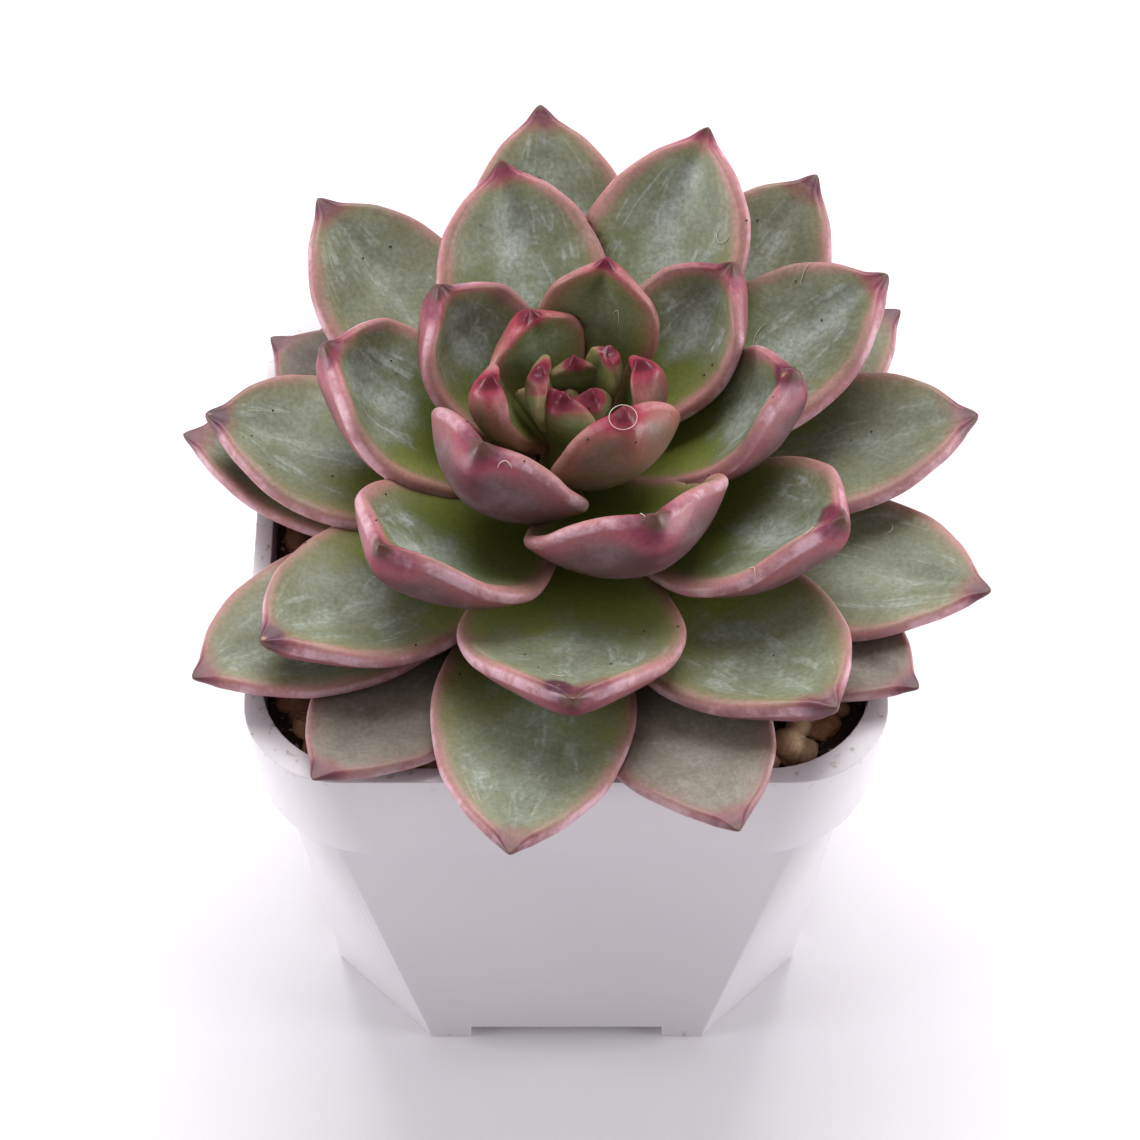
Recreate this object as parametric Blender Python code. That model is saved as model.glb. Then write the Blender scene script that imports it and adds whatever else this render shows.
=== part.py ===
"""A potted succulent: a rosette of fleshy leaves on a short stem, in soil and gravel in a square plastic pot.

Run it with: blender --background --python part.py, or from Blender's text editor.
Lengths below are in millimetres and angles in degrees; MM turns them into Blender's metres.
The pot stands on z = 0 with its front facing -Y.
"""

import math
import random

import bmesh
import bpy
from mathutils import Euler, Matrix, Vector
from mathutils.bvhtree import BVHTree

MM = 0.001
GAP = 0.3  # kept between pieces that touch
BOX_CENTRE = Vector((1.60, -1.23, 0.0))  # from the pot's centre to the middle of the whole plant's box

# Driving dimensions

POT_HEIGHT = 68.0
WALL = 1.6
LIP = 2.1  # the flat top of the rim, across

# Outlines of the pot: half the side, and half the straight part of a side. The rest is the corner: an arc
# on the rim and a chamfer at the feet.
RIM_EDGE = 0.6  # the bevel round the rim's outer edge
RIM_TOP = (37.5, 26.0)
RIM_FOOT = (36.9, 22.0)
BODY_TOP = (33.2, 28.1)
BODY_FOOT = (29.9, 17.5)
RIM_FOOT_Z = POT_HEIGHT - 15.5  # the band under the rim stands out from the body down to here
CORNER_POINTS = 5

FLOOR_Z = 3.0  # underside of the floor, above the feet
FLOOR_THICK = 1.6
NOTCH_WIDTH = 24.8  # the gap between two feet
NOTCH_HEIGHT = 2.6
DRAIN_RADIUS = 1.8
DRAIN_PITCH = 12.0

SOIL_TOP = 62.5
SOIL_CLEARANCE = 0.9  # to the pot's sloping walls, whose corners twist from chamfer to arc
STEM_CENTRE = Vector((1.5, 3.5))
STEM_LEAN = Vector((-0.05, 0.0))  # sideways per unit of height above the rim
# The root crown, stem and growing tip as (height above the rim, radius).
STEM_PROFILE = ((-12.0, 2.2), (-6.0, 4.6), (1.0, 5.2), (8.0, 4.2), (14.0, 2.8), (19.0, 1.2), (21.0, 0.5))

# The rosette, outermost whorl first. neck is the foot's share of a leaf's width, and cup is how far the
# margins rise, as a share of half the width.
# Each leaf is (azimuth, height of its foot above the rim, reach of its tip from the stem, height of its tip
# above the rim, bow, width); bow is the angle by which its two ends turn up from the line between them.
WHORLS = {
    "oldest": {
        "thick": 3.2, "cup": 0.08, "neck": 0.24,
        "leaves": [
            (289, -3.2, 54.0, 6.0, 0, 21.5), (322, -3.9, 49.0, 4.2, 0, 20.0),
            (6, -3.6, 36.0, 3.2, 0, 18.0), (74, -3.8, 41.0, 6.0, 0, 20.0),
            (148, -3.6, 44.5, 4.0, 0, 20.0), (235, -3.9, 52.0, 3.8, 0, 20.5),
        ],
    },
    "outer": {
        "thick": 3.6, "cup": 0.10, "neck": 0.25,
        "leaves": [
            (262, -1.4, 55.0, 6.5, 0, 23.5), (338, -0.6, 51.0, 8.0, 2, 22.5),
            (33, -1.0, 47.0, 6.8, 1, 20.0), (112, -1.4, 41.0, 6.5, 0, 20.0),
            (173, -1.2, 47.5, 6.5, 2, 21.0), (214, -1.0, 53.0, 5.4, 0, 22.5),
        ],
    },
    "lower": {
        "thick": 5.0, "cup": 0.15, "neck": 0.28,
        "leaves": [
            (269, 3.0, 40.5, 16.0, 15, 24.5), (307, 1.4, 47.5, 11.0, 8, 24.0),
            (4, 2.4, 47.0, 13.0, 5, 23.0), (51, 1.0, 46.0, 20.0, 6, 22.0),
            (96, 2.4, 45.0, 23.0, 7, 22.0), (134, 1.4, 45.5, 19.0, 6, 22.0),
            (175, 2.6, 44.0, 12.5, 6, 23.0), (219, 2.4, 46.0, 11.5, 6, 23.0),
        ],
    },
    "middle": {
        "thick": 5.3, "cup": 0.23, "neck": 0.29,
        "leaves": [
            (328, 4.6, 35.0, 20.5, 21, 23.5), (26, 4.6, 40.5, 21.5, 9, 22.5),
            (66, 4.2, 38.0, 29.0, 11, 21.5), (106, 6.0, 34.0, 25.5, 9, 21.5),
            (169, 4.4, 30.0, 22.5, 19, 23.5), (227, 5.2, 32.5, 22.0, 21, 24.0),
        ],
    },
    "inner": {
        "thick": 5.2, "cup": 0.30, "neck": 0.30,
        "leaves": [
            (291, 7.2, 23.5, 25.0, 24, 25.0), (358, 6.4, 24.5, 25.5, 19, 19.0),
            (38, 8.6, 22.5, 27.5, 17, 18.0), (144, 7.8, 20.0, 26.0, 17, 18.5),
            (233, 9.0, 18.0, 28.5, 19, 22.0),
        ],
    },
    "heart": {
        "thick": 3.8, "cup": 0.29, "neck": 0.36,
        "leaves": [
            (76, 10.2, 12.5, 30.0, 17, 15.0), (298, 11.0, 10.5, 28.5, 23, 17.0),
            (190, 12.4, 10.0, 25.5, 19, 11.0), (126, 12.0, 9.5, 26.0, 16, 14.0),
            (2, 11.8, 6.6, 26.0, 20, 9.0),
        ],
    },
    "bud": {
        "thick": 1.8, "cup": 0.30, "neck": 0.45,
        "leaves": [
            (35, 15.2, 3.8, 26.0, 16, 4.6), (177, 15.6, 4.0, 25.0, 16, 5.0),
            (236, 15.0, 2.8, 23.5, 20, 6.0), (301, 15.6, 2.2, 23.5, 20, 4.6),
            (107, 16.0, 1.8, 24.5, 10, 5.0),
        ],
    },
}

# Stations along a leaf: (share of the length, share of the half width, share of the thickness). The foot's
# width comes from the whorl's neck.
LEAF_STATIONS = (
    (0.00, None, 0.45),
    (0.16, 0.58, 0.60),
    (0.36, 0.86, 0.85),
    (0.58, 1.00, 1.00),
    (0.78, 0.83, 0.93),
    (0.91, 0.47, 0.71),
    (0.97, 0.18, 0.38),
    (1.00, 0.04, 0.12),
)
# Points round a leaf's section: (place across the blade, 0 on the upper face and 1 on the lower one).
LEAF_SECTION = ((1, 0), (0.5, 0), (0, 0), (-0.5, 0), (-1, 0), (-0.62, 1), (0, 1), (0.62, 1))
BACK_ROUNDNESS = 2.2  # 2 gives the lower face a parabola's section, and more a fuller one

# Gravel on the soil: (x, y, length, width, height, turn).
PEBBLES = (
    (-32.4, -22.6, 4.6, 3.6, 2.6, 70), (-30.0, -27.0, 4.6, 3.6, 2.6, -45), (-25.6, -30.8, 4.4, 3.4, 2.4, 20),
    (-32.6, 1.6, 5.8, 3.6, 3.0, 85), (-32.2, 8.6, 4.6, 3.4, 2.4, 80), (-29.2, 29.6, 5.2, 3.8, 2.8, 40),
    (-25.2, 32.0, 4.0, 3.2, 2.2, 10), (26.4, -30.4, 4.8, 3.4, 2.6, 20), (30.2, -26.6, 4.8, 3.4, 2.6, 45),
    (32.4, -21.4, 4.4, 3.2, 2.4, 80), (29.4, 29.4, 4.8, 3.8, 2.6, -45), (25.4, 32.0, 4.2, 3.2, 2.2, 5),
)
PEBBLE_LIFT = 0.35  # between a pebble and the soil under it

LEAF_GREEN = "#7C8B66"
LEAF_RED = "#A0636A"
STEM_BROWN = "#8A7A58"
POT_WHITE = "#ECEBEE"
SOIL_BLACK = "#2E2722"
GRAVEL_TAN = "#B08A62"


# Small tools


def linear(hex_colour):
    """An sRGB hex colour as Blender's linear RGBA."""
    channels = [int(hex_colour[i : i + 2], 16) / 255 for i in (1, 3, 5)]
    return [c / 12.92 if c <= 0.04045 else ((c + 0.055) / 1.055) ** 2.4 for c in channels] + [1.0]


def make_material(name, hex_colour, roughness):
    material = bpy.data.materials.new(name)
    material.use_nodes = True
    shader = material.node_tree.nodes["Principled BSDF"]
    shader.inputs["Base Color"].default_value = linear(hex_colour)
    shader.inputs["Roughness"].default_value = roughness
    shader.inputs["Metallic"].default_value = 0.0
    return material


def make_object(name, bm, material, assembly, sharp_angle=40):
    """Turns a bmesh that was modelled in millimetres into one named, shaded object."""
    bmesh.ops.scale(bm, vec=(MM, MM, MM), verts=bm.verts)
    mesh = bpy.data.meshes.new(name)
    bm.to_mesh(mesh)
    bm.free()
    mesh.shade_smooth()
    mesh.set_sharp_from_angle(angle=math.radians(sharp_angle))
    mesh.materials.append(material)
    obj = bpy.data.objects.new(name, mesh)
    obj.parent = assembly
    bpy.context.scene.collection.objects.link(obj)
    return obj


def loft(bm, rings):
    """Closes a skin over rings of points that all have the same count, with a flat cap at each end."""
    loops = [[bm.verts.new(point) for point in ring] for ring in rings]
    for near, far in zip(loops, loops[1:]):
        for i in range(len(near)):
            j = (i + 1) % len(near)
            bm.faces.new((near[i], near[j], far[j], far[i]))
    bm.faces.new(loops[0])
    bm.faces.new(loops[-1])
    # Every quad is split along the same diagonal, so that two nested lofts keep their gap.
    bmesh.ops.triangulate(bm, faces=bm.faces, quad_method="FIXED")
    bmesh.ops.recalc_face_normals(bm, faces=bm.faces)


def hide_cutter(obj):
    obj.hide_render = True
    obj.display_type = "WIRE"


def cut(target, cutter, solver="EXACT"):
    boolean = target.modifiers.new("cut_" + cutter.name, "BOOLEAN")
    boolean.operation = "DIFFERENCE"
    boolean.solver = solver
    boolean.object = cutter


# Pot and soil


def outline(half, straight, z):
    """One closed outline of the pot at a height: straight sides with CORNER_POINTS points round each corner.

    A corner is an arc up at the rim and a flat chamfer down at the feet, and in between it goes evenly from
    one to the other.
    """
    corner = half - straight
    round_share = min(1.0, z / RIM_FOOT_Z)
    points = []
    for quarter in range(4):
        turn = Matrix.Rotation(math.radians(90 * quarter), 3, "Z")
        for i in range(CORNER_POINTS):
            share = i / (CORNER_POINTS - 1)
            chamfer = Vector((half - corner * share, straight + corner * share, z))
            angle = math.radians(90 * share)
            arc = Vector((straight + corner * math.cos(angle), straight + corner * math.sin(angle), z))
            points.append(turn @ chamfer.lerp(arc, round_share))
    return points


def body_outline(z, inset=0.0):
    """The body's outline at a height, moved inwards by inset."""
    share = z / RIM_FOOT_Z
    half = BODY_FOOT[0] + (BODY_TOP[0] - BODY_FOOT[0]) * share - inset
    straight = BODY_FOOT[1] + (BODY_TOP[1] - BODY_FOOT[1]) * share - inset * math.tan(math.radians(22.5))
    return outline(half, straight, z)


def build_pot(assembly, material):
    """A moulded shell: feet, body, the band under the rim, the lip, and down the inside to the floor."""
    ledge_z = RIM_FOOT_Z + WALL
    levels = [
        body_outline(FLOOR_Z, WALL),
        body_outline(0.0, WALL),
        body_outline(0.0),
        body_outline(RIM_FOOT_Z),
        outline(*RIM_FOOT, RIM_FOOT_Z),
        outline(*RIM_TOP, POT_HEIGHT - RIM_EDGE),
        outline(RIM_TOP[0] - RIM_EDGE, RIM_TOP[1], POT_HEIGHT),
        outline(RIM_TOP[0] - LIP, RIM_TOP[1], POT_HEIGHT),
        outline(RIM_FOOT[0] - LIP, RIM_FOOT[1], ledge_z),
        body_outline(ledge_z, WALL),
        body_outline(FLOOR_Z + FLOOR_THICK, WALL),
    ]
    bm = bmesh.new()
    loft(bm, levels)
    pot = make_object("pot", bm, material, assembly)

    for name, size in (
        ("notch_across", (4 * BODY_FOOT[0], NOTCH_WIDTH)),
        ("notch_along", (NOTCH_WIDTH, 4 * BODY_FOOT[0])),
    ):
        bm = bmesh.new()
        bmesh.ops.create_cube(bm, size=1.0)
        bmesh.ops.scale(bm, vec=(*size, 2 * NOTCH_HEIGHT), verts=bm.verts)
        notch = make_object(name, bm, material, assembly)
        hide_cutter(notch)
        cut(pot, notch)

    bm = bmesh.new()
    for column in (-1, 0, 1):
        for row in (-1, 0, 1):
            middle = Vector((column * DRAIN_PITCH, row * DRAIN_PITCH, FLOOR_Z + FLOOR_THICK / 2))
            bmesh.ops.create_cone(
                bm,
                cap_ends=True,
                segments=10,
                radius1=DRAIN_RADIUS,
                radius2=DRAIN_RADIUS,
                depth=4 * FLOOR_THICK,
                matrix=Matrix.Translation(middle),
            )
    drains = make_object("drain_holes", bm, material, assembly)
    hide_cutter(drains)
    cut(pot, drains)
    return pot


def build_soil(assembly, material):
    """The soil fills the pot up to a little under the rim, with a pocket for the root crown."""
    inset = WALL + SOIL_CLEARANCE
    ledge_z = RIM_FOOT_Z + WALL + GAP
    levels = [
        body_outline(FLOOR_Z + FLOOR_THICK + GAP, inset),
        body_outline(ledge_z, inset),
        outline(RIM_FOOT[0] - LIP - GAP, RIM_FOOT[1] - GAP, ledge_z),
        outline(RIM_FOOT[0] - LIP - GAP, RIM_FOOT[1] - GAP, SOIL_TOP),
    ]
    bm = bmesh.new()
    loft(bm, levels)
    soil = make_object("soil", bm, material, assembly)

    pocket = make_object("root_pocket", stem_mesh(GAP), material, assembly)
    hide_cutter(pocket)
    cut(soil, pocket)
    return soil


def build_pebbles(assembly, material):
    """Gravel lying on the soil, each stone a worn lump of its own shape."""
    for number, (x, y, length, width, height, turn) in enumerate(PEBBLES, 1):
        worn = random.Random(number)
        bm = bmesh.new()
        bmesh.ops.create_icosphere(bm, subdivisions=2, radius=0.5)
        for vert in bm.verts:
            vert.co *= worn.uniform(0.88, 1.0)
        bmesh.ops.scale(bm, vec=(length, width, height), verts=bm.verts)
        pebble = make_object(f"pebble_{number:02d}", bm, material, assembly, sharp_angle=60)
        pebble.location = Vector((x, y, SOIL_TOP + PEBBLE_LIFT + height / 2)) * MM
        pebble.rotation_euler = Euler((0, 0, math.radians(turn)))


# Stem and leaves


def stem_axis(height):
    """A point of the stem's axis, at a height above the rim."""
    return Vector((*(STEM_CENTRE + STEM_LEAN * height), POT_HEIGHT + height))


def stem_radius(height):
    """The stem's radius at a height above the rim, read off its profile."""
    for (low, r_low), (high, r_high) in zip(STEM_PROFILE, STEM_PROFILE[1:]):
        if height <= high:
            return r_low + (r_high - r_low) * (height - low) / (high - low)
    return STEM_PROFILE[-1][1]


def stem_mesh(grow=0.0, sides=14):
    """The root crown, stem and growing tip as one turned shape, thicker by grow."""
    rings = []
    for height, radius in ((STEM_PROFILE[0][0] - grow, STEM_PROFILE[0][1]), *STEM_PROFILE[1:]):
        arm = Vector((radius + grow, 0, 0))
        turns = [Matrix.Rotation(2 * math.pi * i / sides, 3, "Z") for i in range(sides)]
        rings.append([stem_axis(height) + turn @ arm for turn in turns])
    bm = bmesh.new()
    loft(bm, rings)
    return bm


class Leaf:
    """One leaf's spine, a quadratic curve from the stem to the tip, and the frame along it."""

    def __init__(self, whorl, azimuth, base, reach, rise, bow, width):
        self.whorl = whorl
        self.half = width / 2
        out = Vector((math.cos(math.radians(azimuth)), math.sin(math.radians(azimuth)), 0.0))
        self.side = Vector((-out.y, out.x, 0.0))
        self.foot = stem_axis(base) + out * (stem_radius(base) + GAP)
        self.tip = Vector((*STEM_CENTRE, POT_HEIGHT + rise)) + out * reach
        chord = self.tip - self.foot
        up = chord.cross(self.side).normalized()
        self.control = (self.foot + self.tip) / 2 - up * chord.length / 2 * math.tan(math.radians(bow))

    def frame(self, share):
        """The spine's point and its upward normal, at a share of the way to the tip."""
        a, b, c = self.foot, self.control, self.tip
        point = (1 - share) ** 2 * a + 2 * share * (1 - share) * b + share**2 * c
        ahead = ((1 - share) * (b - a) + share * (c - b)).normalized()
        return point, ahead.cross(self.side)

    def section(self, share, wide, thick):
        """The points round the leaf at one station."""
        point, up = self.frame(share)
        half = self.half * (self.whorl["neck"] if wide is None else wide)
        depth = self.whorl["thick"] * thick
        ring = []
        for across, lower in LEAF_SECTION:
            lift = self.whorl["cup"] * half * across**2
            drop = lower * depth * (1 - abs(across) ** BACK_ROUNDNESS)
            ring.append(point + self.side * across * half + up * (lift - drop))
        return ring


def leaf_mesh(leaf, grow=0.0):
    bm = bmesh.new()
    loft(bm, [leaf.section(*station) for station in LEAF_STATIONS])
    if grow:
        bm.normal_update()
        for vert in bm.verts:
            vert.co += vert.normal * grow
    return bm


def build_leaves(assembly, materials):
    """The leaves, oldest first. Where a younger leaf presses on an older one, the older one gives way."""
    grown = []
    for whorl_name, whorl in WHORLS.items():
        for number, row in enumerate(whorl["leaves"], 1):
            name = f"{whorl_name}_leaf_{number:02d}"
            grown.append((name, Leaf(whorl, *row), materials[whorl_name]))
    # Each leaf comes in two sizes: its own, and one that is GAP larger all round, which cuts the older ones.
    presses = []
    for name, leaf, material in reversed(grown):
        bm = leaf_mesh(leaf)
        tree = BVHTree.FromBMesh(bm)
        obj = make_object(name, bm, material, assembly)
        for press_tree, press in presses:
            if tree.overlap(press_tree):
                cut(obj, press, "MANIFOLD")
        bm = leaf_mesh(leaf, grow=GAP)
        press_tree = BVHTree.FromBMesh(bm)
        press = make_object("press_" + name, bm, material, assembly)
        hide_cutter(press)
        presses.append((press_tree, press))


# The whole plant


def main():
    for obj in list(bpy.data.objects):
        bpy.data.objects.remove(obj)

    assembly = bpy.data.objects.new("assembly", None)
    assembly.location = -BOX_CENTRE * MM
    bpy.context.scene.collection.objects.link(assembly)
    green = make_material("leaf_green", LEAF_GREEN, 0.55)
    red = make_material("leaf_red", LEAF_RED, 0.5)
    brown = make_material("stem_brown", STEM_BROWN, 0.8)
    white = make_material("pot_white", POT_WHITE, 0.35)
    black = make_material("soil_black", SOIL_BLACK, 0.95)
    tan = make_material("gravel_tan", GRAVEL_TAN, 0.9)

    build_pot(assembly, white)
    build_soil(assembly, black)
    make_object("stem", stem_mesh(), brown, assembly)
    build_pebbles(assembly, tan)
    build_leaves(assembly, {name: red if name in ("heart", "bud") else green for name in WHORLS})


main()
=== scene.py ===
import math
import random

import bmesh
import bpy
from mathutils import Matrix, Vector, noise
from mathutils.bvhtree import BVHTree


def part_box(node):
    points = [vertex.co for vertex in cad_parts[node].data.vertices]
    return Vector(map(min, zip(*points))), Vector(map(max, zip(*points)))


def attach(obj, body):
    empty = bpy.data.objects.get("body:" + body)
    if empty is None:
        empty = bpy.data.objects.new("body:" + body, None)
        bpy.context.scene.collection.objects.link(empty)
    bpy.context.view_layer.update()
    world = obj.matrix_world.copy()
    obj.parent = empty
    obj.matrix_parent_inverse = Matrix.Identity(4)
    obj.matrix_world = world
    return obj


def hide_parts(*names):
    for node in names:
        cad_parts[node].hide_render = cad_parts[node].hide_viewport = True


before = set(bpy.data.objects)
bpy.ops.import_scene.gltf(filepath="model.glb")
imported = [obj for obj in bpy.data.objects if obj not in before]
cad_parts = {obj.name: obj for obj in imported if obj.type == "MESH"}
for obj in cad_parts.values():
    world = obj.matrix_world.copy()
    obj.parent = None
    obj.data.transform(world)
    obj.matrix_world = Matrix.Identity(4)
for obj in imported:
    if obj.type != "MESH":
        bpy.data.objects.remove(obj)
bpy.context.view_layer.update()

mm = 0.001
potLow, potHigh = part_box("pot")
potCentre = (potLow + potHigh) / 2
potCentre.z = 0.0
rimHeight = potHigh.z
soilLow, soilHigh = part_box("soil")
stemLow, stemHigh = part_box("stem")
stemCentre = (stemLow + stemHigh) / 2


# small tools

def linear(hexColour):
    # an sRGB hex colour as Blender's linear RGBA
    channels = [int(hexColour[i : i + 2], 16) / 255 for i in (1, 3, 5)]
    return [c / 12.92 if c <= 0.04045 else ((c + 0.055) / 1.055) ** 2.4 for c in channels] + [1.0]


def addNode(tree, kind, inputs=None, out=None, **settings):
    # adds a node with its settings, fills its sockets with values or links, and gives the socket it ends in
    node = tree.nodes.new(kind)
    for name, value in settings.items():
        setattr(node, name, value)
    for name, value in (inputs or {}).items():
        socket = next(s for s in node.inputs if s.enabled and name in (s.name, s.identifier))
        if isinstance(value, bpy.types.NodeSocket):
            tree.links.new(value, socket)
        else:
            socket.default_value = value
    return node.outputs[out] if out else next(s for s in node.outputs if s.enabled)


def newMaterial(name, **values):
    # a material and its Principled shader, with the values that are the same all over the surface
    material = bpy.data.materials.new(name)
    material.use_nodes = True
    shader = material.node_tree.nodes["Principled BSDF"]
    for socket, value in values.items():
        shader.inputs[socket.replace("_", " ")].default_value = value
    return material, material.node_tree, shader


def finishSurface(tree, shader, colour, rough, relief=None):
    # wires what varies over a surface: its colour, its roughness, which follows a pattern from one value to
    # another over a range of the pattern, and its relief, a pattern with a strength and a depth in mm
    tree.links.new(colour, shader.inputs["Base Color"])
    pattern, low, high, glossy, dull = rough
    ends = {"From Min": low, "From Max": high, "To Min": glossy, "To Max": dull}
    rough = addNode(tree, "ShaderNodeMapRange", {"Value": pattern, **ends})
    tree.links.new(rough, shader.inputs["Roughness"])
    if relief:
        height, strength, depth = relief
        bump = {"Height": height, "Strength": strength, "Distance": depth * mm}
        tree.links.new(addNode(tree, "ShaderNodeBump", bump), shader.inputs["Normal"])


def patternScale(size):
    # a noise texture's scale for lumps of this size in millimetres, on Object coordinates
    return 1 / (size * mm)


def newObject(name, bm):
    # the object that holds a finished bmesh
    mesh = bpy.data.meshes.new(name)
    bm.to_mesh(mesh)
    bm.free()
    made = bpy.data.objects.new(name, mesh)
    bpy.context.scene.collection.objects.link(made)
    return made


def addPiece(name, bm, material, replaced=()):
    # a finished bmesh becomes a smooth piece that rides on the plant
    piece = newObject(name, bm)
    piece.data.shade_smooth()
    piece.data.materials.append(material)
    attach(piece, "root")
    if replaced:
        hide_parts(*replaced)
    return piece


def mergedCopy(nodeName):
    # a CAD node's mesh as one closed skin: its triangles are loose until they are merged
    bm = bmesh.new()
    bm.from_mesh(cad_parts[nodeName].data)
    bmesh.ops.remove_doubles(bm, verts=bm.verts, dist=0.005 * mm)
    return bm


def relax(bm, verts, amount):
    # smooths some of a mesh's points
    bmesh.ops.smooth_vert(bm, verts=verts, factor=amount, use_axis_x=True, use_axis_y=True, use_axis_z=True)


def bakeModifiers(piece, cutters=()):
    # leaves the modified mesh on the piece, and clears the cutters away
    graph = bpy.context.evaluated_depsgraph_get()
    mesh = bpy.data.meshes.new_from_object(piece.evaluated_get(graph))
    piece.modifiers.clear()
    piece.data = mesh
    for cutter in cutters:
        bpy.data.objects.remove(cutter)


def smoothStep(value, low, high):
    share = min(1.0, max(0.0, (value - low) / (high - low)))
    return share * share * (3 - 2 * share)


def curveAt(stations, share, column):
    # a smooth curve through a table's column: a cubic between two stations, with slopes from their neighbours
    last = len(stations) - 2
    i = next((k for k in range(last + 1) if share <= stations[k + 1][0]), last)
    before, low, high, after = (stations[min(max(k, 0), last + 1)] for k in (i - 1, i, i + 1, i + 2))
    width = high[0] - low[0]
    t = (share - low[0]) / width
    rise = high[column] - low[column]
    slopeLow = (high[column] - before[column]) / max(high[0] - before[0], 1e-6) * width if i else rise
    slopeHigh = (after[column] - low[column]) / max(after[0] - low[0], 1e-6) * width if i < last else rise
    return (
        (2 * t**3 - 3 * t**2 + 1) * low[column]
        + (t**3 - 2 * t**2 + t) * slopeLow
        + (3 * t**2 - 2 * t**3) * high[column]
        + (t**3 - t**2) * slopeHigh
    )


def drawThrough(bm, rings, joined=False):
    # a circle is extruded from one ring of points to the next, then capped at both ends or joined to itself
    ring = bmesh.ops.create_circle(bm, cap_ends=False, segments=len(rings[0]), radius=1.0)["verts"]
    for vert, point in zip(ring, rings[0]):
        vert.co = point
    edges = list(dict.fromkeys(edge for vert in ring for edge in vert.link_edges))
    ends = [edges]
    for points in rings[1:]:
        made = bmesh.ops.extrude_edge_only(bm, edges=edges)["geom"]
        edges = [item for item in made if isinstance(item, bmesh.types.BMEdge) and item.is_boundary]
        fresh = {vert for edge in edges for vert in edge.verts}
        ring = [next(e.other_vert(v) for e in v.link_edges if e.other_vert(v) in fresh) for v in ring]
        for vert, point in zip(ring, points):
            vert.co = point
    ends.append(edges)
    if joined:
        bmesh.ops.bridge_loops(bm, edges=ends[0] + ends[1])
        return
    for loop in ends:
        bmesh.ops.contextual_create(bm, geom=loop)


# leaf skin

# a waxy succulent leaf: a tough satin skin under a thin white bloom that rubs off in patches
greenSkin = {
    "blade": "#6C7050",
    "foot": "#879140",  # where the light reaches through near the foot
    "warm": "#8F855C",  # the blush between the blade and its margin
    "margin": "#BC8084",
    "paintedMarginHighlight": "#D6B2C0",  # painted highlight along the rounded margin, in patches like the wax
    "tip": "#8E4B55",
    "purple": "#4E2436",  # round the dry point
    "mucro": "#5E3C36",
    "scar": "#A58868",
    "bloom": "#8B9180",  # the haze of wax
    "web": "#B2BAB2",  # wax rubbed into ridges, and the painted highlight along the middle fold
    "under": "#684A4E",
    "underFoot": "#706A44",
    "underBloom": "#7E6871",
    "underEdge": "#96595E",
    "keel": "#592334",
    "bloomAmount": 0.85,  # how much of the wax is left
    "coreWaxAndHighlight": 0.25,  # wax along the middle, which also paints the fold's highlight
    "marginWidth": 1.3,  # mm
    "tipLength": 2.4,  # mm
    "roughness": 0.40,
}
dewySkin = greenSkin | {
    "blade": "#666D4A",
    "foot": "#747F36",
    "web": "#B9C2C2",
    "margin": "#CA858D",
    "tip": "#A04C5C",
    "purple": "#6A2A40",
    "bloomAmount": 0.95,
    "coreWaxAndHighlight": 0.55,
    "marginWidth": 1.7,
    "tipLength": 1.6,
}
agedSkin = greenSkin | {
    "blade": "#746E5F",
    "foot": "#666245",
    "warm": "#806C5A",
    "margin": "#946A6A",
    "paintedMarginHighlight": "#B79AA0",
    "bloom": "#918C84",
    "web": "#A39C96",
    "under": "#75595D",
    "bloomAmount": 0.60,
    "tipLength": 2.0,
}
youngSkin = greenSkin | {
    "blade": "#666E46",
    "foot": "#6C7433",
    "warm": "#8C6C4C",
    "margin": "#AC666A",
    "paintedMarginHighlight": "#B98486",
    "bloom": "#80876E",
    "web": "#9BA192",
    "tip": "#96404C",
    "purple": "#932840",
    "mucro": "#6E2334",
    "under": "#73584A",
    "underFoot": "#6B673A",
    "underBloom": "#856A66",
    "underEdge": "#96584F",
    "keel": "#80493F",
    "bloomAmount": 0.50,
    "marginWidth": 1.0,
    "tipLength": 1.0,
    "roughness": 0.36,
}
budSkin = youngSkin | {
    "blade": "#747C4B",
    "foot": "#7C8348",
    "warm": "#7F7A4E",
    "margin": "#8C7A55",
    "paintedMarginHighlight": "#8E7F5E",
    "tip": "#A0485A",
    "purple": "#8E2A40",
    "mucro": "#6E2234",
    "under": "#757C52",
    "underFoot": "#757C4A",
    "underBloom": "#868663",
    "underEdge": "#80744E",
    "keel": "#7E6A4C",
    "bloomAmount": 0.25,
    "marginWidth": 0.5,
    "tipLength": 0.3,
}


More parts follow.
